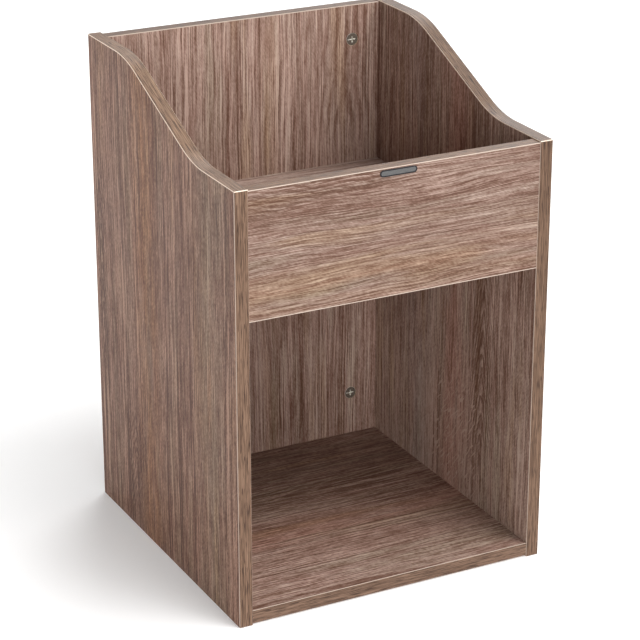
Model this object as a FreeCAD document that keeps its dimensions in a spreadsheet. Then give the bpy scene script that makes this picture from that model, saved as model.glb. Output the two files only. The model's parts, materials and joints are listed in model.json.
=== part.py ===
import FreeCAD, Part

import math
import os
import re

import Sketcher
from FreeCAD import Placement, Rotation, Vector

# An open bin on an open cubby, in melamine-faced board, for books or records.
# The origin is on the floor, under the middle of the object. X runs to the right,
# Y from the front to the back, and Z up. Sizes are in millimetres.

SIZES = {
    # the whole
    "overall_width": 365,
    "overall_depth": 365,
    "rear_height": 550,
    "front_height": 480,
    # boards, and the strips glued to their edges
    "board": 15,
    "band": 1,
    "band_round": 0.6,
    # the S-curve on top of the sides
    "front_flat": 72,
    "rear_flat": 75,
    "curve_radius": 130,
    # where the inner boards stand between the sides
    "end_inset": 1.5,
    "front_inset": 0.5,
    "rear_inset": 1,
    "front_board_bottom": 340,
    "bin_floor_top": 362,
    # cam lock fittings
    "cam_distance": 34,
    "cam_bore_radius": 7.5,
    "cam_bore_depth": 12.5,
    "cam_radius": 7.45,
    "cam_height": 12.1,
    "cam_recess": 0.2,
    "cam_setback": 50,
    "back_cam_low": 69,
    "back_cam_high": 508,
    "cavity_radius": 5.3,
    "cavity_height": 7,
    "cam_throw": 0.5,
    "neck_slot": 4.2,
    "entry_radius": 3.4,
    # connecting bolts
    "bolt_bore_radius": 4,
    "bolt_radius": 2.5,
    "bolt_root_radius": 1.9,
    "bolt_collar_radius": 3.6,
    "bolt_neck_radius": 1.75,
    "bolt_head_radius": 3.1,
    "thread_length": 10.5,
    "thread_pitch": 1.75,
    "side_bore_depth": 11,
    # dowels
    "dowel_bore_radius": 4,
    "dowel_radius": 3.95,
    "dowel_length": 30,
    "dowel_step": 32,
    "dowel_bore_depth": 20.5,
    "dowel_gap": 0.5,
    # the blank plate on the front board
    "plate_width": 42,
    "plate_height": 7,
    "plate_thick": 1.2,
    "plate_rim": 1,
    "plate_sunk": 0.4,
    "plate_corner": 3.4,
    "plate_drop": 2,
}

X_AXIS = Vector(1, 0, 0)
Y_AXIS = Vector(0, 1, 0)
Z_AXIS = Vector(0, 0, 1)
SIDES = {"left": -1, "right": 1}

# How well two directions agree, as the cosine between them.
PARALLEL = 0.99
SAME_SIDE = 0.5

doc = FreeCAD.newDocument("OpenBin")
sheet = doc.addObject("Spreadsheet::Sheet", "Sizes")
subparts = []


# ---------------------------------------------------------------- small helpers

def fill_sheet():
    for row, (alias, value) in enumerate(SIZES.items(), 1):
        sheet.set(f"A{row}", alias.replace("_", " "))
        sheet.set(f"B{row}", str(value))
        sheet.setAlias(f"B{row}", alias)
    doc.recompute()


def formula(text):
    """The expression as FreeCAD reads it, with each size looked up in the sheet."""
    return re.sub(
        r"[a-z]\w*",
        lambda word: f"Sizes.{word.group()}" if word.group() in SIZES else word.group(),
        str(text),
    )


def size(text):
    """The number that a formula gives now."""
    return float(sheet.evalExpression(formula(text)))


def bind(thing, **formulas):
    for name, text in formulas.items():
        thing.setExpression(name, formula(text))


def put(thing, x="0", y="0", z="0", turn=None):
    """Places an object: its origin by formulas, and its turn by a rotation."""
    if turn:
        thing.Placement = Placement(Vector(), turn)
    for axis, text in zip("xyz", (x, y, z)):
        thing.setExpression(f"Placement.Base.{axis}", formula(text))


def facing(outward, along):
    """The rotation that turns local Z outward and local X along the given ways."""
    return Rotation(along, outward.cross(along), outward, "ZXY")


def subpart(thing, label):
    """Marks an object as one of the pieces, which is written under its label."""
    thing.Label = label
    subparts.append(thing)
    return thing


# ---------------------------------------------------------------- sketch helpers

def new_body(name):
    return doc.addObject("PartDesign::Body", name)


def plane(body, role):
    return next(part for part in body.Origin.OriginFeatures if part.Role == role)


def new_sketch(body, name, role, height="0"):
    sketch = body.newObject("Sketcher::SketchObject", name)
    sketch.AttachmentSupport = [(plane(body, role), "")]
    sketch.MapMode = "FlatFace"
    sketch.setExpression("AttachmentOffset.Base.z", formula(height))
    return sketch


def rule(sketch, kind, *items, length=None):
    """Adds a constraint, whose length is a formula of the sheet."""
    if length is None:
        sketch.addConstraint(Sketcher.Constraint(kind, *items))
        return
    index = sketch.addConstraint(Sketcher.Constraint(kind, *items, size(length)))
    sketch.setExpression(f"Constraints[{index}]", formula(length))


def pin(sketch, geometry, point, across=None, up=None):
    """Ties one point of a sketch to its distances from the sketch's origin."""
    if across is not None:
        rule(sketch, "DistanceX", -1, 1, geometry, point, length=across)
    if up is not None:
        rule(sketch, "DistanceY", -1, 1, geometry, point, length=up)


def add_line(sketch, start, end):
    return sketch.addGeometry(Part.LineSegment(Vector(*start), Vector(*end)), False)


def add_arc(sketch, centre, radius, start, end):
    circle = Part.Circle(Vector(*centre), Z_AXIS, radius)
    return sketch.addGeometry(Part.ArcOfCircle(circle, start, end), False)


def add_outline(sketch, corners):
    """A closed outline of straight lines through corners given as formulas."""
    places = [(size(across), size(up)) for across, up in corners]
    lines = [
        add_line(sketch, place, places[(number + 1) % len(places)])
        for number, place in enumerate(places)
    ]
    for number, (across, up) in enumerate(corners):
        rule(sketch, "Coincident", lines[number - 1], 2, lines[number], 1)
        pin(sketch, lines[number], 1, across, up)


def add_box(sketch, left, bottom, right, top):
    add_outline(sketch, [(left, bottom), (right, bottom), (right, top), (left, top)])


def add_round_box(sketch, half_width, half_height, corner):
    """A closed box about the sketch's origin, with round corners."""
    quarter = math.pi / 2
    across = f"({half_width} - {corner})"
    up = f"({half_height} - {corner})"
    arcs = []
    for number, (side, level) in enumerate([(1, 1), (-1, 1), (-1, -1), (1, -1)]):
        centre = (side * size(across), level * size(up))
        start = number * quarter
        arc = add_arc(sketch, centre, size(corner), start, start + quarter)
        pin(sketch, arc, 3, f"{side} * {across}", f"{level} * {up}")
        rule(sketch, "Radius", arc, length=corner)
        arcs.append(arc)
    for arc, next_arc in zip(arcs, arcs[1:] + arcs[:1]):
        line = add_line(sketch, sketch.getPoint(arc, 2), sketch.getPoint(next_arc, 1))
        rule(sketch, "Tangent", arc, 2, line, 1)
        rule(sketch, "Tangent", line, 2, next_arc, 1)


def add_circles(sketch, centres, radius):
    for across, up in centres:
        circle = Part.Circle(Vector(size(across), size(up)), Z_AXIS, size(radius))
        ring = sketch.addGeometry(circle, False)
        pin(sketch, ring, 3, across, up)
        rule(sketch, "Radius", ring, length=radius)


def pad(body, sketch, length):
    feature = body.newObject("PartDesign::Pad", sketch.Name + "_pad")
    feature.Profile = sketch
    bind(feature, Length=length)
    return feature


def pocket(body, sketch, length, reverse=False):
    """Cuts a sketch into its body, and makes sure that it did cut."""
    doc.recompute()
    before = body.Shape.Volume
    feature = body.newObject("PartDesign::Pocket", sketch.Name + "_pocket")
    feature.Profile = sketch
    feature.Reversed = reverse
    bind(feature, Length=length)
    doc.recompute()
    if body.Shape.Volume >= before:
        raise RuntimeError(f"{feature.Name} cuts nothing")
    return feature


def normal_at_middle(face):
    low_u, high_u, low_v, high_v = face.ParameterRange
    return face.normalAt((low_u + high_u) / 2, (low_v + high_v) / 2)


def outer_edges(shape, outward, across):
    """The long edges between the outward faces and the faces square to `across`."""
    names = []
    for number, edge in enumerate(shape.Edges, 1):
        normals = [normal_at_middle(face) for face in shape.ancestorsOfType(edge, Part.Face)]
        looks_out = any(normal.dot(outward) > SAME_SIDE for normal in normals)
        is_side = any(abs(normal.dot(across)) > PARALLEL for normal in normals)
        if looks_out and is_side:
            names.append(f"Edge{number}")
    return names


def round_edges(body, feature, outward, across, radius):
    doc.recompute()
    fillet = body.newObject("PartDesign::Fillet", feature.Name + "_round")
    fillet.Base = (feature, outer_edges(feature.Shape, outward, across))
    bind(fillet, Radius=radius)


# ---------------------------------------------------------------- the S-curve

def add_top_line(sketch, inset, front, rear):
    """The top of a side, `inset` below its outer line, from front to rear.

    A flat, a hollow arc, a slope, a crown arc and a flat, each tangent to the next.
    Gives the first and last line, whose free ends are at the front and the rear.
    """
    hollow = size(f"curve_radius + {inset}")
    crown = size(f"curve_radius - {inset}")
    low = size(f"front_height - {inset}")
    high = size(f"rear_height - {inset}")
    foot = size("front_flat")
    brow = size("overall_depth - rear_flat")
    run = brow - foot
    drop = low + hollow - (high - crown)
    slope = math.asin((hollow + crown) / math.hypot(run, drop)) - math.atan2(drop, run)
    sine = math.sin(slope)
    cosine = math.cos(slope)
    hollow_end = (foot + hollow * sine, low + hollow * (1 - cosine))
    crown_start = (brow - crown * sine, high - crown * (1 - cosine))
    right_angle = math.pi / 2

    front_line = add_line(sketch, (size(front), low), (foot, low))
    hollow_arc = add_arc(sketch, (foot, low + hollow), hollow, -right_angle, slope - right_angle)
    slope_line = add_line(sketch, hollow_end, crown_start)
    crown_arc = add_arc(sketch, (brow, high - crown), crown, right_angle, right_angle + slope)
    rear_line = add_line(sketch, (brow, high), (size(rear), high))

    rule(sketch, "Horizontal", front_line)
    rule(sketch, "Horizontal", rear_line)
    rule(sketch, "Tangent", front_line, 2, hollow_arc, 1)
    rule(sketch, "Tangent", hollow_arc, 2, slope_line, 1)
    rule(sketch, "Tangent", slope_line, 2, crown_arc, 2)
    rule(sketch, "Tangent", crown_arc, 1, rear_line, 1)
    rule(sketch, "Radius", hollow_arc, length=f"curve_radius + {inset}")
    rule(sketch, "Radius", crown_arc, length=f"curve_radius - {inset}")
    pin(sketch, front_line, 1, front, f"front_height - {inset}")
    pin(sketch, front_line, 2, "front_flat")
    pin(sketch, rear_line, 1, "overall_depth - rear_flat")
    pin(sketch, rear_line, 2, rear, f"rear_height - {inset}")
    return front_line, rear_line


def join(sketch, first, first_point, second, second_point):
    """A straight line between the free ends of two lines."""
    start = sketch.getPoint(first, first_point)
    end = sketch.getPoint(second, second_point)
    line = sketch.addGeometry(Part.LineSegment(start, end), False)
    rule(sketch, "Coincident", first, first_point, line, 1)
    rule(sketch, "Coincident", line, 2, second, second_point)
    return line


# ---------------------------------------------------------------- the inner boards

class Board:
    """A board that stands between the sides, held by cam locks and dowels.

    Its local X is the width of the object, its local Y runs along the board and
    its local Z points out of the face that the cam locks are set into.
    """

    def __init__(self, name, outward, run, middle_y, middle_z, cams, dowels):
        self.name = name
        self.turn = facing(outward, X_AXIS)
        self.outward = outward
        self.along = outward.cross(X_AXIS)
        self.run = run
        self.middle_y = middle_y
        self.middle_z = middle_z
        self.cams = cams
        self.dowels = dowels

    def place_of(self, station):
        """The Y and Z of a point on the board's middle plane, as formulas."""
        return (
            f"{self.middle_y} + {self.along.y:.0f} * ({station})",
            f"{self.middle_z} + {self.along.z:.0f} * ({station})",
        )


HALF_DEPTH = "overall_depth / 2"
INNER_HALF = "overall_width / 2 - board"
BACK_FACE = "(overall_depth / 2 - rear_inset - board)"
SHELF_FRONT = "(front_inset + band - overall_depth / 2)"
FLOOR_FRONT = "(front_inset + board - overall_depth / 2)"
FRONT_BOARD_LOW = "(front_board_bottom + band)"
FRONT_BOARD_HIGH = "(front_height - end_inset - band)"
BACK_LOW = "end_inset"
BACK_HIGH = "(rear_height - end_inset - band)"


def paired(run, setback):
    """Two stations, each the same distance from its end of a board."""
    return [f"(({run}) / 2 - ({setback}))", f"-(({run}) / 2 - ({setback}))"]


def flat_board(name, front, middle_z):
    run = f"{BACK_FACE} - {front}"
    return Board(
        name,
        outward=-Z_AXIS,
        run=run,
        middle_y=f"({BACK_FACE} + {front}) / 2",
        middle_z=middle_z,
        cams=paired(run, "cam_setback"),
        dowels=paired(run, "cam_setback + dowel_step"),
    )


def front_board():
    return Board(
        "front_board",
        outward=Y_AXIS,
        run=f"{FRONT_BOARD_HIGH} - {FRONT_BOARD_LOW}",
        middle_y="front_inset + board / 2 - overall_depth / 2",
        middle_z=f"({FRONT_BOARD_HIGH} + {FRONT_BOARD_LOW}) / 2",
        cams=["0"],
        dowels=["dowel_step", "-dowel_step"],
    )


def back_panel():
    middle = f"({BACK_HIGH} + {BACK_LOW}) / 2"
    return Board(
        "back_panel",
        outward=-Y_AXIS,
        run=f"{BACK_HIGH} - {BACK_LOW}",
        middle_y=f"{BACK_FACE} + board / 2",
        middle_z=middle,
        cams=[f"(back_cam_low - {middle})", f"(back_cam_high - {middle})"],
        dowels=[
            f"(back_cam_low + dowel_step - {middle})",
            f"(back_cam_high - dowel_step - {middle})",
        ],
    )


def inner_boards():
    return [
        flat_board("bottom_shelf", SHELF_FRONT, "end_inset + board / 2"),
        flat_board("bin_floor", FLOOR_FRONT, "bin_floor_top - board / 2"),
        front_board(),
        back_panel(),
    ]


def make_board(board):
    """The board with its cam bores, bolt bores and dowel bores."""
    body = new_body(board.name)
    outline = new_sketch(body, board.name + "_outline", "XY_Plane", "-board / 2")
    add_box(outline, f"-({INNER_HALF})", f"-({board.run}) / 2", INNER_HALF, f"({board.run}) / 2")
    pad(body, outline, "board")

    cam_bores = new_sketch(body, board.name + "_cam_bores", "XY_Plane", "board / 2")
    cam_line = f"{INNER_HALF} - cam_distance"
    add_circles(cam_bores, [(cam_line, station) for station in board.cams], "cam_bore_radius")
    cams = pocket(body, cam_bores, "cam_bore_depth")

    bolt_bores = new_sketch(body, board.name + "_bolt_bores", "YZ_Plane", INNER_HALF)
    add_circles(bolt_bores, [(station, "0") for station in board.cams], "bolt_bore_radius")
    bolts = pocket(body, bolt_bores, "cam_distance - cam_bore_radius / 2")

    dowel_bores = new_sketch(body, board.name + "_dowel_bores", "YZ_Plane", INNER_HALF)
    add_circles(dowel_bores, [(station, "0") for station in board.dowels], "dowel_bore_radius")
    dowels = pocket(body, dowel_bores, "dowel_bore_depth")

    both_ends = body.newObject("PartDesign::Mirrored", board.name + "_both_ends")
    both_ends.Originals = [cams, bolts, dowels]
    both_ends.MirrorPlane = (plane(body, "YZ_Plane"), [""])
    body.Tip = both_ends
    put(body, "0", board.middle_y, board.middle_z, board.turn)
    subpart(body, board.name)


# ---------------------------------------------------------------- the sides

def make_side(name, side, boards):
    """A side panel: its sawn outline, less the strips on its edges, and its bores.

    Its local origin is the lowest front corner of the face towards -X.
    """
    body = new_body(f"{name}_side_panel")
    outline = new_sketch(body, f"{name}_side_outline", "YZ_Plane")
    front = "band"
    rear = "overall_depth - band"
    front_top, rear_top = add_top_line(outline, "band", front, rear)
    bottom = add_line(outline, (size(front), 0), (size(rear), 0))
    pin(outline, bottom, 1, front, "0")
    pin(outline, bottom, 2, rear, "0")
    join(outline, front_top, 1, bottom, 1)
    join(outline, rear_top, 2, bottom, 2)
    pad(body, outline, "board")

    inner_face = "board" if side < 0 else "0"
    bores = [("bolt", "bolt_radius"), ("dowel", "dowel_bore_radius")]
    for kind, radius in bores:
        sketch = new_sketch(body, f"{name}_side_{kind}_bores", "YZ_Plane", inner_face)
        centres = []
        for board in boards:
            for station in board.cams if kind == "bolt" else board.dowels:
                y, z = board.place_of(station)
                centres.append((f"{y} + {HALF_DEPTH}", z))
        add_circles(sketch, centres, radius)
        pocket(body, sketch, "side_bore_depth", reverse=side > 0)

    put(body, outer_corner(side), f"-{HALF_DEPTH}")
    subpart(body, f"{name}_side_panel")


def outer_corner(side):
    """The X of the face towards -X of a side panel."""
    return "-overall_width / 2" if side < 0 else "overall_width / 2 - board"


def make_top_band(name, side):
    """The strip that follows the S-curve, from the front corner to the rear one."""
    body = new_body(f"{name}_side_top_band")
    sketch = new_sketch(body, f"{name}_top_band_outline", "YZ_Plane")
    upper_front, upper_rear = add_top_line(sketch, "0", "0", "overall_depth")
    lower_front, lower_rear = add_top_line(sketch, "band", "0", "overall_depth")
    join(sketch, upper_front, 1, lower_front, 1)
    join(sketch, upper_rear, 2, lower_rear, 2)
    strip = pad(body, sketch, "board")
    round_edges(body, strip, Z_AXIS, X_AXIS, "band_round")
    put(body, outer_corner(side), f"-{HALF_DEPTH}")
    subpart(body, f"{name}_side_top_band")


def make_straight_band(label, length, outward, along, x, y, z):
    """A strip on a straight edge: local X is its length and local Z looks outward.

    Its local origin is the middle of one end, on the glued face.
    """
    body = new_body(label)
    sketch = new_sketch(body, label + "_outline", "XY_Plane")
    add_box(sketch, "0", "-board / 2", length, "board / 2")
    strip = pad(body, sketch, "band")
    round_edges(body, strip, Z_AXIS, Y_AXIS, "band_round")
    put(body, x, y, z, facing(outward, along))
    subpart(body, label)


def make_side_bands(name, side):
    make_top_band(name, side)
    middle = f"{outer_corner(side)} + board / 2"
    make_straight_band(
        f"{name}_side_front_band", "front_height - band", -Y_AXIS, Z_AXIS,
        middle, f"band - {HALF_DEPTH}", "0",
    )
    make_straight_band(
        f"{name}_side_rear_band", "rear_height - band", Y_AXIS, Z_AXIS,
        middle, f"{HALF_DEPTH} - band", "0",
    )


def make_inner_bands():
    """The strips on the edges of the inner boards that can be seen or touched."""
    length = f"2 * ({INNER_HALF})"
    left_end = f"-({INNER_HALF})"
    front_middle = "front_inset + board / 2 - overall_depth / 2"
    make_straight_band(
        "bottom_shelf_front_band", length, -Y_AXIS, X_AXIS,
        left_end, SHELF_FRONT, "end_inset + board / 2",
    )
    make_straight_band(
        "front_board_top_band", length, Z_AXIS, X_AXIS,
        left_end, front_middle, FRONT_BOARD_HIGH,
    )
    make_straight_band(
        "front_board_bottom_band", length, -Z_AXIS, X_AXIS,
        left_end, front_middle, FRONT_BOARD_LOW,
    )
    make_straight_band(
        "back_panel_top_band", length, Z_AXIS, X_AXIS,
        left_end, f"{BACK_FACE} + board / 2", BACK_HIGH,
    )


# ---------------------------------------------------------------- cam lock nuts

def solid(kind, name, turn=None, x="0", y="0", z="0", **sizes):
    """A Part primitive with its sizes and place bound to the sheet."""
    thing = doc.addObject(f"Part::{kind}", name)
    bind(thing, **sizes)
    put(thing, x, y, z, turn)
    return thing


def cam_shell(name):
    """The turned outside of a cam lock nut, with a small chamfer round its face."""
    chamfer = "0.4"
    top = "board / 2 - cam_recess"
    drum = solid(
        "Cylinder", name + "_drum",
        Radius="cam_radius", Height=f"cam_height - {chamfer}", z=f"{top} - cam_height",
    )
    lip = solid(
        "Cone", name + "_lip",
        Radius1="cam_radius", Radius2=f"cam_radius - {chamfer}", Height=chamfer,
        z=f"{top} - {chamfer}",
    )
    shell = doc.addObject("Part::MultiFuse", name + "_shell")
    shell.Shapes = [drum, lip]
    return shell


def cam_hollows(name):
    """What is cut from a cam lock nut: the way in and round for the bolt's head.

    The bolt lies on local X, on the plus side. Released, the nut has turned half a
    turn, so its entry hole is on the minus side, and the neck slot joins the two.
    """
    slot_lead = 25
    half_turn = 180
    side_on = Rotation(Y_AXIS, -90)
    cavity = solid(
        "Cylinder", name + "_cavity",
        Radius="cavity_radius", Height="cavity_height", x="-cam_throw", z="-cavity_height / 2",
    )
    slot = solid(
        "Cylinder", name + "_neck_slot", Rotation(Z_AXIS, -half_turn),
        Radius="cam_radius * 2", Height="neck_slot", z="-neck_slot / 2",
        Angle=half_turn + slot_lead,
    )
    entry = solid(
        "Cylinder", name + "_entry", side_on, Radius="entry_radius", Height="cam_radius * 2",
    )
    return [cavity, slot, entry]


def cam_driver(name):
    """The crossed screwdriver recess and the arrow head that shows the entry hole."""
    slot_width = 1.5
    slot_length = 7.5
    slot_depth = 2.4
    arrow_radius = 1.3
    arrow_depth = 0.4
    face = "board / 2 - cam_recess"
    cutters = []
    for number in range(2):
        length, width = (slot_length, slot_width) if number == 0 else (slot_width, slot_length)
        cutters.append(solid(
            "Box", f"{name}_cross_{number + 1}",
            Length=length, Width=width, Height=slot_depth,
            x=-length / 2, y=-width / 2, z=f"{face} - {slot_depth}",
        ))
    arrow = solid(
        "Prism", name + "_arrow", Rotation(Z_AXIS, 180),
        Circumradius=arrow_radius, Height=arrow_depth,
        x=f"{2 * arrow_radius} - cam_radius", z=f"{face} - {arrow_depth}",
    )
    arrow.Polygon = 3
    cutters.append(arrow)
    return cutters


def make_cam(label, board, station, side):
    tool = doc.addObject("Part::MultiFuse", label + "_cutters")
    tool.Shapes = cam_hollows(label) + cam_driver(label)
    cam = doc.addObject("Part::Cut", label)
    cam.Base = cam_shell(label)
    cam.Tool = tool
    y, z = board.place_of(station)
    put(cam, f"{side} * ({INNER_HALF} - cam_distance)", y, z, facing(board.outward, side * X_AXIS))
    subpart(cam, label)


def station_names(board):
    """A word for each of a board's cams, from where it is."""
    words = {
        "bottom_shelf": ["front", "rear"],
        "bin_floor": ["front", "rear"],
        "front_board": [""],
        "back_panel": ["lower", "upper"],
    }
    return words[board.name]


def make_board_cams(board):
    for station, word in zip(board.cams, station_names(board)):
        for name, side in SIDES.items():
            label = "_".join(part for part in (board.name, "cam_nut", word, name) if part)
            make_cam(label, board, station, side)


# ---------------------------------------------------------------- bolts and dowels

def turned(name, profile):
    """A solid of revolution about local X, from (distance, radius) formulas."""
    body = new_body(name)
    sketch = new_sketch(body, name + "_profile", "XY_Plane")
    add_outline(sketch, profile)
    revolution = body.newObject("PartDesign::Revolution", name + "_turned")
    revolution.Profile = sketch
    revolution.ReferenceAxis = (sketch, ["H_Axis"])
    revolution.Angle = 360
    return body


def bolt_profile():
    """The connecting bolt, from the tip of its head, inside the nut, to its thread."""
    head_tip = 0.8
    head_chamfer = 0.7
    head_back = 3.5
    neck_start = 4.35
    shank_start = 7.7
    collar = 3
    tooth_share = 0.8
    teeth = int(SIZES["thread_length"] // SIZES["thread_pitch"])
    face = "cam_distance"
    profile = [
        (f"{head_tip}", "0"),
        (f"{head_tip}", f"bolt_head_radius - {head_chamfer}"),
        (f"{head_tip + head_chamfer}", "bolt_head_radius"),
        (head_back, "bolt_head_radius"),
        (neck_start, "bolt_neck_radius"),
        (shank_start, "bolt_neck_radius"),
        (shank_start, "bolt_radius"),
        (f"{face} - {collar}", "bolt_radius"),
        (f"{face} - {collar}", "bolt_collar_radius"),
        (face, "bolt_collar_radius"),
    ]
    for tooth in range(teeth):
        profile.append((f"{face} + {tooth} * thread_pitch", "bolt_root_radius"))
        profile.append((f"{face} + {tooth + tooth_share} * thread_pitch", "bolt_radius"))
    profile.append((f"{face} + {teeth} * thread_pitch", "bolt_root_radius"))
    profile.append((f"{face} + {teeth} * thread_pitch", "0"))
    return profile


def dowel_profile():
    """A dowel with chamfered ends, laid out from the end that is in the board."""
    chamfer = 1
    start = "(cam_distance - dowel_bore_depth + dowel_gap)"
    end = f"({start} + dowel_length)"
    return [
        (start, "0"),
        (start, f"dowel_radius - {chamfer}"),
        (f"{start} + {chamfer}", "dowel_radius"),
        (f"{end} - {chamfer}", "dowel_radius"),
        (end, f"dowel_radius - {chamfer}"),
        (end, "0"),
    ]


def make_fasteners(board, kind, stations, profile):
    """All of a board's bolts, or all of its dowels, as one group of solids."""
    pieces = []
    for number, station in enumerate(stations, 1):
        for name, side in SIDES.items():
            piece = turned(f"{board.name}_{kind}_{number}_{name}", profile)
            y, z = board.place_of(station)
            turn = facing(board.outward, side * X_AXIS)
            put(piece, f"{side} * ({INNER_HALF} - cam_distance)", y, z, turn)
            pieces.append(piece)
    group = doc.addObject("Part::Compound", f"{board.name}_{kind}s")
    group.Links = pieces
    subpart(group, f"{board.name}_{kind}s")


# ---------------------------------------------------------------- the blank plate

def make_plate():
    """A blank metal plate with round ends and a raised rim, stuck to the front board."""
    half_width = "plate_width / 2"
    half_height = "plate_height / 2"
    body = new_body("name_plate")
    outline = new_sketch(body, "plate_outline", "XY_Plane")
    add_round_box(outline, half_width, half_height, "plate_corner")
    pad(body, outline, "plate_thick")
    field = new_sketch(body, "plate_field", "XY_Plane", "plate_thick")
    field_width = f"({half_width} - plate_rim)"
    field_height = f"({half_height} - plate_rim)"
    add_round_box(field, field_width, field_height, "(plate_corner - plate_rim)")
    pocket(body, field, "plate_sunk")
    put(
        body, "0", f"front_inset - {HALF_DEPTH}",
        f"front_height - end_inset - plate_drop - {half_height}",
        facing(-Y_AXIS, X_AXIS),
    )
    subpart(body, "name_plate")


# ---------------------------------------------------------------- build and write

def check():
    """Stops if anything failed to build or any piece isn't a sound solid."""
    for thing in doc.Objects:
        if {"Invalid", "Error"} & set(thing.State):
            raise RuntimeError(f"{thing.Name}: {thing.State}")
    for thing in subparts:
        if thing.Shape.isNull() or not thing.Shape.isValid() or not thing.Shape.Solids:
            raise RuntimeError(f"{thing.Label} is not a sound solid")


def main():
    fill_sheet()
    boards = inner_boards()
    for name, side in SIDES.items():
        make_side(name, side, boards)
        make_side_bands(name, side)
    for board in boards:
        make_board(board)
        make_board_cams(board)
        make_fasteners(board, "bolt", board.cams, bolt_profile())
        make_fasteners(board, "dowel", board.dowels, dowel_profile())
    make_inner_bands()
    make_plate()
    doc.recompute()
    check()
    os.makedirs("parts", exist_ok=True)
    for thing in subparts:
        thing.Shape.exportStep(f"parts/{thing.Label}.step")
    print(f"wrote {len(subparts)} pieces")


main()
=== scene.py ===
import json
import math

import bpy
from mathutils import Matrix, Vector


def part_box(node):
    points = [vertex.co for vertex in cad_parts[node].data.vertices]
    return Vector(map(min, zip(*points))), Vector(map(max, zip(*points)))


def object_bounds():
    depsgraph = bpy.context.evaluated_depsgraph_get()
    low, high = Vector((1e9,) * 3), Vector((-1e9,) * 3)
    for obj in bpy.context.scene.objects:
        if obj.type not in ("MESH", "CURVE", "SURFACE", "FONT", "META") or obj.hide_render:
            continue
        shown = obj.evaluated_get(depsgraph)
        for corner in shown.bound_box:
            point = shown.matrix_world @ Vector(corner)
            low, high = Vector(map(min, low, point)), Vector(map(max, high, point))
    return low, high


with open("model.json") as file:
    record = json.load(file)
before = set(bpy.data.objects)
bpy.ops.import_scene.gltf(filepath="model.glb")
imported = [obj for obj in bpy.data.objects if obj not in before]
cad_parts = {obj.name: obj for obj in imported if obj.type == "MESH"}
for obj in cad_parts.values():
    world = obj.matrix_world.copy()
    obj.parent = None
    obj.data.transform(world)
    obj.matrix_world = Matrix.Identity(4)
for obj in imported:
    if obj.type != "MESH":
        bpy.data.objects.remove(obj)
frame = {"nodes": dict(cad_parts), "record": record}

# An open bin with S-curved sides over an open cubby, in grey-brown oak decor.
# Everything is in metres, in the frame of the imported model: the origin is on the
# floor under the middle of the object, the front faces -Y and +Z is up.

CAD_LOW, CAD_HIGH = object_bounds()
MIDDLE = (CAD_LOW + CAD_HIGH) / 2
NODES = frame["nodes"]
SLOT_OF = {entry["node"]: entry["material_slot"] for entry in frame["record"]["subparts"]}


# ---------------------------------------------------------------- shader helpers

# The colour sockets of a Mix node, which come after its number and vector ones.
MIX_FIRST = 6
MIX_SECOND = 7
MIX_RESULT = 2

# Most of a noise's values lie between these two.
NOISE_LOW = 0.3
NOISE_HIGH = 0.7


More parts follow.
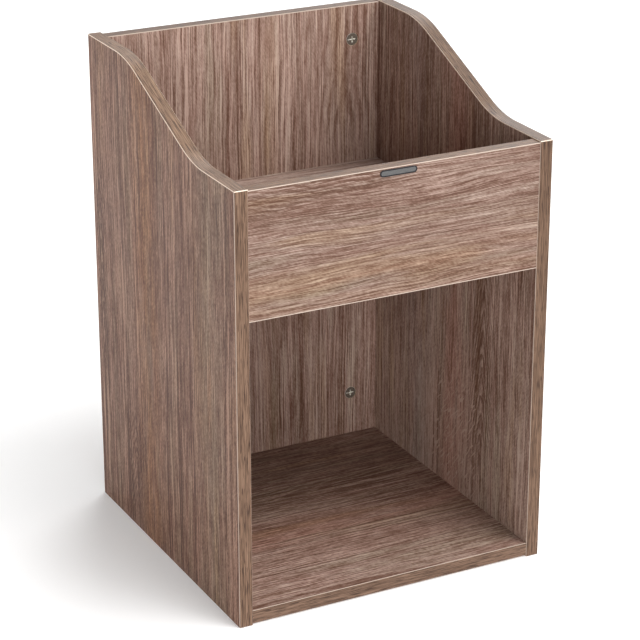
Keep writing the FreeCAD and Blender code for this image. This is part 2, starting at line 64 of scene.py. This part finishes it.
class Shader:
    """A node material, written as calls that each add a node and give its output."""

    def __init__(self, name):
        self.material = bpy.data.materials.new(name)
        self.material.use_nodes = True
        self.tree = self.material.node_tree
        self.tree.nodes.clear()
        coordinates = self.add("ShaderNodeTexCoord")
        self.place = coordinates.outputs["Object"]
        self.normal = coordinates.outputs["Normal"]
        self.x, self.y, self.z = self.split(self.place)
        self.axes = {"x": self.x, "y": self.y, "z": self.z}

    def add(self, kind, inputs=None, **settings):
        node = self.tree.nodes.new(kind)
        for name, value in settings.items():
            setattr(node, name, value)
        for name, value in (inputs or {}).items():
            self.feed(node.inputs[name], value)
        return node

    def feed(self, socket, value):
        if isinstance(value, bpy.types.NodeSocket):
            self.tree.links.new(value, socket)
        else:
            socket.default_value = value

    def split(self, vector):
        node = self.add("ShaderNodeSeparateXYZ", {0: vector})
        return node.outputs[0], node.outputs[1], node.outputs[2]

    def join(self, x, y, z):
        return self.add("ShaderNodeCombineXYZ", {0: x, 1: y, 2: z}).outputs[0]

    def calc(self, operation, first, second=0.0, third=0.0, clamp=False):
        node = self.add("ShaderNodeMath", operation=operation, use_clamp=clamp)
        for number, value in enumerate((first, second, third)):
            self.feed(node.inputs[number], value)
        return node.outputs[0]

    def plus(self, first, second):
        return self.calc("ADD", first, second)

    def times(self, first, second):
        return self.calc("MULTIPLY", first, second)

    def swing(self, value, amount):
        """Noise about its mean, as a signed shift of up to about half the amount."""
        return self.times(self.calc("SUBTRACT", value, 0.5), amount)

    def step(self, value, low, high):
        """0 below `low`, 1 above `high` and smooth between, or the reverse."""
        node = self.add(
            "ShaderNodeMapRange", {"Value": value, "From Min": low, "From Max": high},
            interpolation_type="SMOOTHSTEP",
        )
        return node.outputs["Result"]

    def facing(self, axis):
        """How squarely the surface faces along an axis, either way: 0 to 1."""
        return self.calc("ABSOLUTE", self.split(self.normal)["xyz".index(axis)])

    def noise(self, vector, scale=1.0, detail=2.0, roughness=0.5):
        inputs = {"Vector": vector, "Scale": scale, "Detail": detail, "Roughness": roughness}
        return self.add("ShaderNodeTexNoise", inputs).outputs["Fac"]

    def streaks(self, across, along, wide, long, seed, detail=2.0, roughness=0.5):
        """Noise drawn out along the grain: `wide` and `long` are its cell in metres."""
        stretched = self.join(
            self.calc("DIVIDE", across, wide), self.calc("DIVIDE", along, long), seed,
        )
        return self.noise(stretched, detail=detail, roughness=roughness)

    def mix(self, factor, first, second, blend_type="MIX"):
        node = self.add("ShaderNodeMix", data_type="RGBA", blend_type=blend_type)
        self.feed(node.inputs["Factor"], factor)
        self.feed(node.inputs[MIX_FIRST], first)
        self.feed(node.inputs[MIX_SECOND], second)
        return node.outputs[MIX_RESULT]

    def ramp(self, factor, stops):
        node = self.add("ShaderNodeValToRGB", {"Fac": factor})
        elements = node.color_ramp.elements
        while len(elements) < len(stops):
            elements.new(0.5)
        for element, (position, colour) in zip(elements, stops):
            element.position = position
            element.color = colour
        return node.outputs["Color"]

    def two_tone(self, noise, dark, light):
        """A colour that a noise takes from dark to light."""
        return self.ramp(noise, [(NOISE_LOW, rgb(*dark)), (NOISE_HIGH, rgb(*light))])

    def bump(self, height, depth, strength=1.0):
        """A relief of `depth` metres between height 0 and height 1."""
        inputs = {"Height": height, "Distance": depth, "Strength": strength}
        return self.add("ShaderNodeBump", inputs).outputs["Normal"]

    def finish(self, **inputs):
        """Adds the surface shader; its inputs are named with _ for spaces."""
        surface = self.add("ShaderNodeBsdfPrincipled")
        for name, value in inputs.items():
            self.feed(surface.inputs[name.replace("_", " ")], value)
        output = self.add("ShaderNodeOutputMaterial")
        self.tree.links.new(surface.outputs[0], output.inputs["Surface"])
        return self.material


def rgb(red, green, blue):
    return (red, green, blue, 1.0)


def tinted(ink, tint):
    return rgb(*(part * share for part, share in zip(ink, tint)))


# ---------------------------------------------------------------- oak decor

PALE = (0.440, 0.322, 0.256)
LIGHT = (0.336, 0.231, 0.180)
BODY = (0.246, 0.158, 0.121)
DEEP = (0.163, 0.089, 0.062)
DARK = (0.104, 0.050, 0.032)

OLIVE = rgb(0.95, 1.00, 0.96)
GOLDEN = rgb(1.03, 0.99, 0.89)
ROSE = rgb(1.02, 0.97, 0.97)
PLAIN = rgb(1.0, 1.0, 1.0)

# The print's colours from dark to light, and where each comes on the scale of its tone.
INKS = [(0.0, DARK), (0.26, DEEP), (0.50, BODY), (0.74, LIGHT), (1.0, PALE)]
# Faint shifts of hue, and where each comes in the noise that sets them.
HUES = [(0.30, OLIVE), (0.42, PLAIN), (0.50, ROSE), (0.58, PLAIN), (0.70, GOLDEN)]

# The streaks that the grain is made of: width and length of a cell in metres, and strength.
LONG_STREAKS = [
    (0.0100, 0.550, 0.46),
    (0.0046, 0.420, 0.62),
    (0.0020, 0.300, 1.05),
    (0.0011, 0.160, 1.25),
]
SHORT_STREAKS = [
    (0.0040, 0.070, 0.26),
    (0.0014, 0.020, 1.15),
]
# Fine lines between the streaks: step from the board's seed, length in metres, and strength.
THREADS = [
    (31.0, 0.18, 0.42),
    (37.0, 0.13, -0.42),
]
SEED_STEP = 3.7
SHORT_SEED = 23.0
PORE_WIDTH = 0.0009
PORE_LENGTH = 0.0045
PORE_SLANT = 0.30
EMBOSSING = 0.00006


class Figure:
    """How one board's print runs. Places across and along the grain are in metres.

    tone: how much lighter the board is than the others; drift: how much more per metre of grain
    long, short: how strong the long and the short streaks are; thread: width of fine lines
    bend: how far the lines stray sideways
    arches: rows of nested arches, as (heart line, reach, low end, high end, ring, taper, depth)
    tints: coloured, smoother strips, as (middle, half width, colour); on the shelf a pale front
    strip is painted light and a dark rear strip is painted shade
    flecks: a patch of pale rays, as (middle across, half width, middle along, half length)
    """

    def __init__(self, seed, tint=(1.0, 1.0, 1.0), tone=0.0, drift=0.0, long=1.0, short=1.0,
                 thread=0.0012, bend=0.014, flecks=None, arches=(), tints=()):
        self.seed = seed
        self.tint = tint
        self.tone = tone
        self.drift = drift
        self.long = long
        self.short = short
        self.thread = thread
        self.bend = bend
        self.flecks = flecks
        self.arches = arches
        self.tints = tints


def close_to(shader, value, middle, reach):
    """1 at the middle, falling smoothly to 0 at `reach` from it."""
    gap = shader.calc("ABSOLUTE", shader.calc("SUBTRACT", value, middle))
    return shader.step(gap, reach, 0.0)


def arch_lines(shader, place, along, seed, arch):
    """Dark lines, up to `depth`, nested in a row of pointed arches along a heart line."""
    heart, reach, low, high, ring, taper, depth = arch
    from_heart = shader.calc("SUBTRACT", place, heart)
    radius = shader.calc("SQRT", shader.calc("MULTIPLY_ADD", from_heart, from_heart, 0.00001))
    slope = shader.calc("MULTIPLY_ADD", along, taper, radius)
    uneven = shader.streaks(place, along, ring * 2, ring * 4, seed + 15.0)
    phase = shader.plus(shader.calc("DIVIDE", slope, ring), shader.swing(uneven, 1.5))
    saw = shader.calc("FRACT", phase)
    line = shader.times(shader.step(saw, 0.20, 0.75), shader.step(saw, 1.0, 0.84))
    beside = shader.step(radius, reach, reach * 0.4)
    within = close_to(shader, along, (low + high) / 2, (high - low) / 2)
    within = shader.step(within, 0.0, 0.35)
    return shader.times(shader.times(line, depth), shader.times(beside, within))


def oak_tone(shader, place, along, figure):
    """How light the print is, 0 to 1, and the height of its embossed pores."""
    seed = figure.seed
    zone = shader.step(shader.streaks(place, along, 0.028, 0.90, seed + 41.0), 0.36, 0.62)
    lines = shader.plus(0.60, shader.times(zone, 0.60))
    for middle, reach, _ in figure.tints:
        smooth = close_to(shader, place, middle, reach)
        lines = shader.times(lines, shader.calc("SUBTRACT", 1.0, shader.times(smooth, 0.45)))

    streaks = 0.0
    for number, (wide, long, amount) in enumerate(LONG_STREAKS):
        layer = shader.streaks(place, along, wide, long, seed + SEED_STEP * number)
        streaks = shader.plus(streaks, shader.swing(layer, amount * figure.long))
    for seed_step, long, amount in THREADS:
        layer = shader.streaks(place, along, figure.thread, long, seed + seed_step)
        thread = shader.step(layer, 0.56, 0.64)
        streaks = shader.plus(streaks, shader.times(thread, amount * figure.long))

    broad = shader.streaks(place, along, 0.035, 0.50, seed + 19.0)
    tone = shader.plus(0.5 + figure.tone, shader.swing(broad, 0.50))
    tone = shader.calc("MULTIPLY_ADD", along, figure.drift, tone)
    tone = shader.plus(tone, shader.times(streaks, lines))
    for number, (wide, long, amount) in enumerate(SHORT_STREAKS):
        dashes = shader.streaks(place, along, wide, long, seed + SHORT_SEED + SEED_STEP * number)
        tone = shader.plus(tone, shader.swing(dashes, amount * figure.short))
    slanted = shader.calc("MULTIPLY_ADD", along, PORE_SLANT, place)
    pores = shader.streaks(slanted, along, PORE_WIDTH, PORE_LENGTH, seed + 29.0)
    tone = shader.plus(tone, shader.swing(pores, figure.short))
    for arch in figure.arches:
        rings = arch_lines(shader, place, along, seed, arch)
        tone = shader.calc("SUBTRACT", tone, shader.times(rings, shader.plus(0.5, dashes)))
    height = shader.plus(dashes, shader.times(pores, 0.6))
    return shader.calc("MAXIMUM", shader.calc("MINIMUM", tone, 1.0), 0.0), height


def oak_print(shader, across, along, figure):
    """The printed oak: its colour, and a height for its embossed pores."""
    seed = figure.seed
    bend = shader.streaks(across, along, 0.07, 0.30, seed + 1.3)
    wander = shader.streaks(across, along, 0.016, 0.040, seed + 2.1, 1.0)
    place = shader.plus(across, shader.swing(bend, figure.bend))
    place = shader.plus(place, shader.swing(wander, 0.0016))
    tone, height = oak_tone(shader, place, along, figure)

    colour = shader.ramp(tone, [(level, tinted(ink, figure.tint)) for level, ink in INKS])
    hue = shader.streaks(place, along, 0.022, 0.35, seed + 12.5)
    colour = shader.mix(1.0, colour, shader.ramp(hue, HUES), "MULTIPLY")
    # Coloured strips; the shelf's pale front strip is painted light and its dark rear strip is
    # painted shade.
    for middle, reach, tint in figure.tints:
        patch = shader.step(shader.streaks(place, along, 0.02, 0.16, seed + middle), 0.30, 0.55)
        amount = shader.times(close_to(shader, place, middle, reach), patch)
        colour = shader.mix(amount, colour, shader.mix(1.0, colour, tint, "MULTIPLY"))
    if figure.flecks:
        colour = add_flecks(shader, colour, across, along, figure)
    return colour, height


def add_flecks(shader, colour, across, along, figure):
    """The pale, slanting rays of quarter-cut oak, in one patch."""
    middle_across, half_width, middle_along, half_length = figure.flecks
    seed = figure.seed
    curl = shader.swing(shader.streaks(across, along, 0.022, 0.022, seed + 20.0), 0.010)
    down = shader.plus(shader.plus(across, shader.times(along, 0.8)), curl)
    over = shader.calc("SUBTRACT", across, along)
    rays = shader.step(shader.streaks(down, over, 0.0032, 0.026, seed + 22.0, 0.5), 0.60, 0.67)
    beside = shader.step(close_to(shader, across, middle_across, half_width), 0.0, 0.4)
    within = shader.step(close_to(shader, along, middle_along, half_length), 0.0, 0.4)
    amount = shader.times(shader.times(rays, 0.75), shader.times(beside, within))
    return shader.mix(amount, colour, rgb(*PALE))


def chipboard(shader):
    """The sawn core: pressed chips of several browns."""
    chips_per_metre = 420.0
    chips = shader.add("ShaderNodeTexVoronoi", {"Vector": shader.place, "Scale": chips_per_metre})
    level = shader.split(chips.outputs["Color"])[0]
    return shader.ramp(level, [
        (0.0, rgb(0.20, 0.12, 0.06)), (0.5, rgb(0.42, 0.29, 0.16)), (1.0, rgb(0.60, 0.46, 0.29)),
    ])


def board_material(name, face_axis, across_axis, along_axis, figure):
    """Melamine-faced chipboard: decor on its two faces and raw core on its sawn edges."""
    shader = Shader(name)
    across, along = shader.axes[across_axis], shader.axes[along_axis]
    printed, height = oak_print(shader, across, along, figure)
    on_face = shader.step(shader.facing(face_axis), 0.4, 0.6)
    colour = shader.mix(on_face, chipboard(shader), printed)
    cloud = shader.noise(shader.place, scale=14.0, detail=3.0)
    gloss = shader.plus(0.42, shader.swing(cloud, 0.16))
    roughness = shader.calc("MAXIMUM", gloss, shader.calc("SUBTRACT", 0.85, on_face))
    return shader.finish(
        Base_Color=colour, Roughness=roughness, Normal=shader.bump(height, EMBOSSING, 0.7),
        Specular_IOR_Level=0.12,
    )


# ---------------------------------------------------------------- edge bands

# As INKS, for the darker print of the bands.
BAND_INKS = [
    (0.00, (0.036, 0.018, 0.010)),
    (0.28, (0.082, 0.046, 0.028)),
    (0.52, (0.135, 0.082, 0.052)),
    (1.00, (0.240, 0.156, 0.105)),
]
# The bare body of the bands, which shows at their corners. On the sides' top bands it is paler
# still, a painted highlight where their top corners catch the light.
CORNER = rgb(0.52, 0.42, 0.35)
BRIGHT_CORNER = rgb(0.88, 0.73, 0.60)


def band_material(name, side_axis, across_axis, along_axis, seed, tint, corner=CORNER):
    """Printed plastic strip, with its bare pale body showing on rounded corners and cut ends; a
    paler `corner` adds a painted highlight there.
    """
    shader = Shader(name)
    across, along = shader.axes[across_axis], shader.axes[along_axis]
    broad = shader.streaks(across, along, 0.006, 0.12, seed)
    fine = shader.streaks(across, along, 0.0011, 0.050, seed + 4.0, 3.0, 0.6)
    dashes = shader.step(shader.streaks(across, along, 0.0008, 0.018, seed + 7.0, 1.0), 0.54, 0.62)
    tone = shader.plus(0.60, shader.swing(broad, 0.4))
    tone = shader.plus(tone, shader.swing(fine, 2.0))
    tone = shader.calc("SUBTRACT", tone, shader.times(dashes, 0.44), clamp=True)
    printed = shader.ramp(tone, [(level, tinted(ink, tint)) for level, ink in BAND_INKS])
    rounded = shader.step(shader.facing(side_axis), 0.45, 0.70)
    cut_end = shader.step(shader.facing(along_axis), 0.93, 0.98)
    colour = shader.mix(shader.calc("MAXIMUM", rounded, cut_end), printed, corner)
    return shader.finish(
        Base_Color=colour,
        Roughness=shader.plus(0.42, shader.swing(fine, 0.14)),
        Specular_IOR_Level=0.24,
        Normal=shader.bump(shader.calc("SUBTRACT", fine, dashes), 0.00005, 0.6),
    )


# ---------------------------------------------------------------- metals and dowels

def cast_zinc(name, axis, level, inward):
    """Die-cast metal of the cam lock nuts: dull on the outer face, with painted highlights on its
    sunken and slanted parts.

    The outer face is square to `axis`, at `level`; `inward` is the sign of the way in.
    """
    shader = Shader(name)
    mottle = shader.noise(shader.place, scale=900.0, detail=4.0, roughness=0.6)
    depth = shader.times(shader.calc("SUBTRACT", shader.axes[axis], level), inward)
    sunken = shader.step(depth, 0.0001, 0.0003)
    slanted = shader.step(shader.facing(axis), 0.9, 0.6)
    cut = shader.calc("MAXIMUM", sunken, slanted)
    dull = shader.two_tone(mottle, (0.120, 0.101, 0.082), (0.270, 0.228, 0.185))
    # bright is a painted highlight, laid on the sunken parts and the slanted walls that cut picks
    # out.
    bright = shader.two_tone(mottle, (0.76, 0.74, 0.68), (0.94, 0.92, 0.86))
    return shader.finish(
        Base_Color=shader.mix(cut, dull, bright), Metallic=0.55,
        Roughness=shader.plus(0.26, shader.times(mottle, 0.20)),
        Normal=shader.bump(mottle, 0.00008, 0.8),
    )


def plated_steel():
    """Turned, zinc-plated steel of the connecting bolts."""
    shader = Shader("plated_steel")
    lathe = shader.streaks(shader.x, shader.y, 0.0002, 0.01, 3.0)
    colour = shader.two_tone(lathe, (0.46, 0.46, 0.43), (0.66, 0.66, 0.60))
    return shader.finish(
        Base_Color=colour, Metallic=1.0, Roughness=shader.plus(0.24, shader.times(lathe, 0.15)),
    )


def beech():
    """Plain beech of the dowels, with its short dark flecks."""
    shader = Shader("beech")
    grain = shader.streaks(shader.y, shader.x, 0.0008, 0.02, 2.0, 3.0)
    colour = shader.two_tone(grain, (0.44, 0.28, 0.15), (0.66, 0.47, 0.29))
    return shader.finish(Base_Color=colour, Roughness=0.6, Normal=shader.bump(grain, 0.00005))


def plate_metal():
    """The blank plate: a brushed grey field inside a dark rim."""
    shader = Shader("plate_metal")
    low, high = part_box("name_plate")
    field_depth = 0.0002
    field_level = low.y + field_depth
    brushed = shader.streaks(shader.z, shader.x, 0.00016, 0.006, 5.0, 3.0)
    rim = shader.step(shader.y, field_level, field_level - field_depth / 2)
    field = shader.two_tone(brushed, (0.085, 0.085, 0.087), (0.165, 0.162, 0.158))
    return shader.finish(
        Base_Color=shader.mix(rim, field, rgb(0.020, 0.020, 0.024)), Metallic=0.8,
        Roughness=shader.plus(0.26, shader.times(brushed, 0.16)),
        Normal=shader.bump(brushed, 0.00002, 0.6),
    )


# ---------------------------------------------------------------- dressing the model

# The way into each board from the face that its cam lock nuts are set in.
CAM_FACES = {
    "back_panel": ("y", 1),
    "front_board": ("y", -1),
    "bin_floor": ("z", 1),
    "bottom_shelf": ("z", 1),
}


def dress(node, material):
    """Puts a material on a CAD node, in place of its plain one."""
    for slot in NODES[node].material_slots:
        slot.material = material


def dress_boards():
    upright = {"face_axis": "x", "across_axis": "y", "along_axis": "z"}
    level = {"face_axis": "z", "across_axis": "y", "along_axis": "x"}
    dress("left_side_panel", board_material("oak_left_side", **upright, figure=Figure(
        seed=4.0, tint=(0.82, 0.69, 0.61), tone=-0.07, long=1.35, short=1.50, thread=0.0028,
        arches=[
            (0.082, 0.034, 0.00, 0.16, 0.0060, 0.45, 0.36),
            (0.166, 0.018, 0.12, 0.46, 0.0048, 0.20, 0.50),
        ],
        tints=[(0.040, 0.045, rgb(1.12, 1.00, 0.76)), (-0.125, 0.055, rgb(0.93, 1.06, 1.06))],
    )))
    dress("right_side_panel", board_material("oak_right_side", **upright, figure=Figure(
        # drift here is painted shade: the panel grows darker towards the top, where it walls the
        # bin.
        seed=31.0, tint=(1.03, 1.06, 1.09), tone=0.17, drift=-0.52, short=1.15,
        flecks=(-0.020, 0.075, 0.085, 0.095),
        arches=[(-0.080, 0.030, 0.04, 0.42, 0.0050, 0.20, 0.44)],
        tints=[(-0.015, 0.050, rgb(1.06, 0.92, 0.90)), (0.065, 0.045, rgb(0.95, 1.00, 1.05))],
    )))
    dress("back_panel", board_material(
        "oak_back", face_axis="y", across_axis="x", along_axis="z", figure=Figure(
            seed=57.0, tint=(1.07, 1.09, 1.13), tone=-0.02, drift=0.23, long=0.96, short=0.82,
            arches=[(0.125, 0.070, 0.36, 0.66, 0.0120, 0.06, 0.26)],
            tints=[(0.028, 0.018, rgb(1.02, 1.01, 0.94))],
        ),
    ))
    dress("front_board", board_material(
        "oak_front", face_axis="y", across_axis="z", along_axis="x", figure=Figure(
            seed=73.0, tint=(0.90, 0.95, 0.99), tone=-0.08, long=0.72, short=0.95, bend=0.026,
            arches=[(0.488, 0.046, -0.24, 0.02, 0.0054, -0.16, 0.30)],
            tints=[(0.366, 0.036, rgb(1.04, 0.99, 0.86))],
        ),
    ))
    dress("bottom_shelf", board_material("oak_shelf", **level, figure=Figure(
        seed=91.0, tint=(1.02, 1.04, 1.07), tone=-0.03, short=1.30,
        arches=[(0.045, 0.034, -0.10, 0.16, 0.0070, -0.12, 0.30)],
        tints=[
            (-0.045, 0.050, rgb(1.05, 0.93, 0.90)),
            # Painted light: a pale, bluish strip along the front of the shelf, standing for the
            # sheen of the light on it.
            (-0.145, 0.055, rgb(1.16, 1.19, 1.22)),
            # Painted shade: a dark strip at the back of the shelf, under the bin.
            (0.110, 0.080, rgb(0.72, 0.70, 0.69)),
        ],
    )))
    dress("bin_floor", board_material("oak_bin_floor", **level, figure=Figure(
        seed=113.0, tint=(1.08, 1.16, 1.24), tone=0.10, drift=0.5,
    )))


def dress_bands():
    front_tints = {"left": (1.00, 0.94, 0.92), "right": (0.87, 0.80, 0.76)}
    # The sides' top bands are tinted paler than their front bands: painted sheen of the light from
    # above, on the same band print.
    top_tints = {"left": (1.28, 1.20, 1.10), "right": (0.92, 0.84, 0.75)}
    for number, (side, tint) in enumerate(front_tints.items()):
        seed = 10.0 + 40.0 * number
        dress(f"{side}_side_front_band", band_material(
            f"band_{side}_front", "x", "x", "z", seed, tint,
        ))
        dress(f"{side}_side_rear_band", band_material(
            f"band_{side}_rear", "x", "x", "z", seed + 9, tint,
        ))
        # The top bands' paler corners, BRIGHT_CORNER, are a painted highlight.
        dress(f"{side}_side_top_band", band_material(
            f"band_{side}_top", "x", "x", "y", seed + 21, top_tints[side], BRIGHT_CORNER,
        ))
    dress("bottom_shelf_front_band", band_material(
        "band_shelf", "z", "z", "x", 90.0, tint=(0.92, 0.87, 0.88),
    ))
    level_tints = {
        "front_board_top_band": (1.10, 0.93, 0.75),
        "front_board_bottom_band": (1.10, 0.93, 0.75),
        "back_panel_top_band": (0.88, 0.80, 0.72),
    }
    for number, (node, tint) in enumerate(level_tints.items()):
        dress(node, band_material(node, "y", "y", "x", 100.0 + 11 * number, tint))


def dress_fittings():
    by_slot = {
        "bolt_steel": plated_steel(),
        "dowel_wood": beech(),
        "plate_metal": plate_metal(),
    }
    for node, slot in SLOT_OF.items():
        if slot in by_slot:
            dress(node, by_slot[slot])
    for board, (axis, inward) in CAM_FACES.items():
        nuts = [node for node in SLOT_OF if node.startswith(f"{board}_cam_nut")]
        low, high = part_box(nuts[0])
        level = getattr(low if inward > 0 else high, axis)
        zinc = cast_zinc(f"zinc_{board}", axis, level, inward)
        for node in nuts:
            dress(node, zinc)


# ---------------------------------------------------------------- the studio

# Name, azimuth and elevation in degrees, and power.
LIGHTS = [
    ("high_right", 45, 62, 1.10),
    ("high_front", 20, 55, 1.45),
    ("right", 45, 35, 0.96),
    ("low_front", -25, 10, 1.42),
    ("behind", 135, 35, 1.50),
]
# How many degrees of the sky each light spans.
SOFTBOX_SPREAD = 40
LAMP_DISTANCE = 3.0


def direction(azimuth, elevation):
    """The way from the object towards a place round it; azimuth 0 is in front."""
    turn = math.radians(azimuth)
    rise = math.radians(elevation)
    return Vector((
        math.sin(turn) * math.cos(rise), -math.cos(turn) * math.cos(rise), math.sin(rise),
    ))


def add_light(name, azimuth, elevation, power):
    """Even light from one side, as from a large softbox."""
    data = bpy.data.lights.new(name, "SUN")
    data.angle = math.radians(SOFTBOX_SPREAD)
    data.energy = power
    lamp = bpy.data.objects.new(name, data)
    bpy.context.scene.collection.objects.link(lamp)
    lamp.location = MIDDLE + direction(azimuth, elevation) * LAMP_DISTANCE
    lamp.rotation_mode = "QUATERNION"
    lamp.rotation_quaternion = direction(azimuth, elevation).to_track_quat("Z", "Y")


def make_lights():
    for light in LIGHTS:
        add_light(*light)


def make_world():
    """A pale backdrop all round, bright near the floor and dark overhead."""
    bright_below = math.radians(12)
    dark_above = math.radians(32)
    world = bpy.data.worlds.new("studio")
    world.use_nodes = True
    tree = world.node_tree
    place = tree.nodes.new("ShaderNodeTexCoord")
    parts = tree.nodes.new("ShaderNodeSeparateXYZ")
    fade = tree.nodes.new("ShaderNodeMapRange")
    fade.interpolation_type = "SMOOTHSTEP"
    fade.inputs["From Min"].default_value = math.sin(dark_above)
    fade.inputs["From Max"].default_value = math.sin(bright_below)
    tree.links.new(place.outputs["Generated"], parts.inputs[0])
    tree.links.new(parts.outputs[2], fade.inputs["Value"])
    tree.links.new(fade.outputs["Result"], tree.nodes["Background"].inputs["Color"])
    bpy.context.scene.world = world


def make_floor():
    """A pale floor that glows a little, as a lit table does, to keep its shadows light."""
    half_width = 30.0
    glow = 0.22
    mesh = bpy.data.meshes.new("floor")
    corners = [(x * half_width, y * half_width, 0) for x, y in ((-1, -1), (1, -1), (1, 1), (-1, 1))]
    mesh.from_pydata(corners, [], [(0, 1, 2, 3)])
    floor = bpy.data.objects.new("floor", mesh)
    bpy.context.scene.collection.objects.link(floor)
    shader = Shader("pale_floor")
    speck = shader.noise(shader.place, scale=60.0, detail=3.0)
    tone = shader.two_tone(speck, (0.86, 0.86, 0.86), (0.90, 0.90, 0.90))
    floor.data.materials.append(shader.finish(
        Base_Color=tone, Roughness=0.7, Emission_Color=PLAIN, Emission_Strength=glow,
    ))


def make_camera():
    """A long lens from the left front, a little above the object."""
    azimuth = -27.4
    elevation = 21.9
    distance = 2.626
    aim = MIDDLE + Vector((0.0, -0.011, -0.0235))
    data = bpy.data.cameras.new("camera")
    data.lens = 135
    data.sensor_width = 36
    camera = bpy.data.objects.new("camera", data)
    bpy.context.scene.collection.objects.link(camera)
    towards = direction(azimuth, elevation)
    camera.location = aim + towards * distance
    camera.rotation_mode = "QUATERNION"
    camera.rotation_quaternion = towards.to_track_quat("Z", "Y")
    bpy.context.scene.camera = camera


dress_boards()
dress_bands()
dress_fittings()
make_world()
make_lights()
make_floor()
make_camera()
bpy.context.scene.view_settings.view_transform = "Standard"
